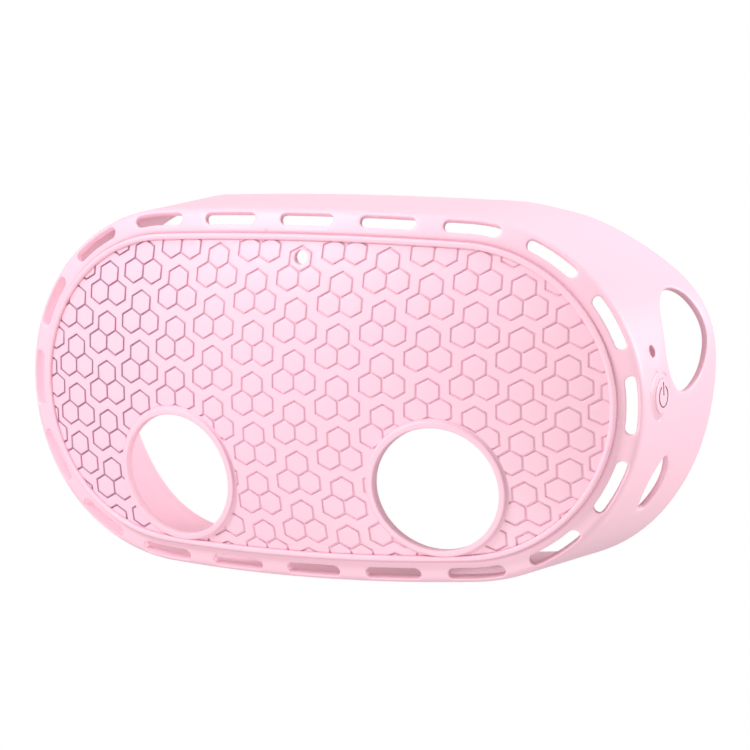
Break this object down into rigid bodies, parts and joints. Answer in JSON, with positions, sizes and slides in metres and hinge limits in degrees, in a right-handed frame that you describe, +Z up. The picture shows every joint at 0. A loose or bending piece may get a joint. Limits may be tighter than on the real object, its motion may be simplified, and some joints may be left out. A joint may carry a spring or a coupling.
{
  "type": "protective visor cover",
  "caption": "Open-backed soft cover for a head-worn visor: domed honeycomb front, round windows, vented shoulder, side skirt with openings and a press button.",
  "frame": {"origin": "front apex of the domed panel, on the cover's mid plane, halfway up its outline", "axes": "+X to the viewer's right across the front, +Y from the front panel to the open back, +Z up"},
  "size_m": [0.1682, 0.0626, 0.0916],
  "materials": {
    "moulding": "satin silicone, pale pink",
    "button": "satin silicone, pale pink",
    "icon": "raised line in shadow, darker pink"
  },
  "bodies": {
    "cover": {"honeycomb_panel": "moulding", "panel_bead": "moulding", "slotted_flange": "moulding", "side_skirt": "moulding", "rear_lip": "moulding", "left_window_ring": "moulding", "right_window_ring": "moulding", "button_web": "button"},
    "button": {"power_button": "button", "icon_arc": "icon", "icon_bar": "icon"}
  },
  "joints": [
    {"name": "button_press", "type": "slide", "parent": "cover", "child": "button", "axis": [-0.999, 0.0451, 0], "range_m": [0, 0.0007], "stiffness_N_per_m": 1500}
  ]
}
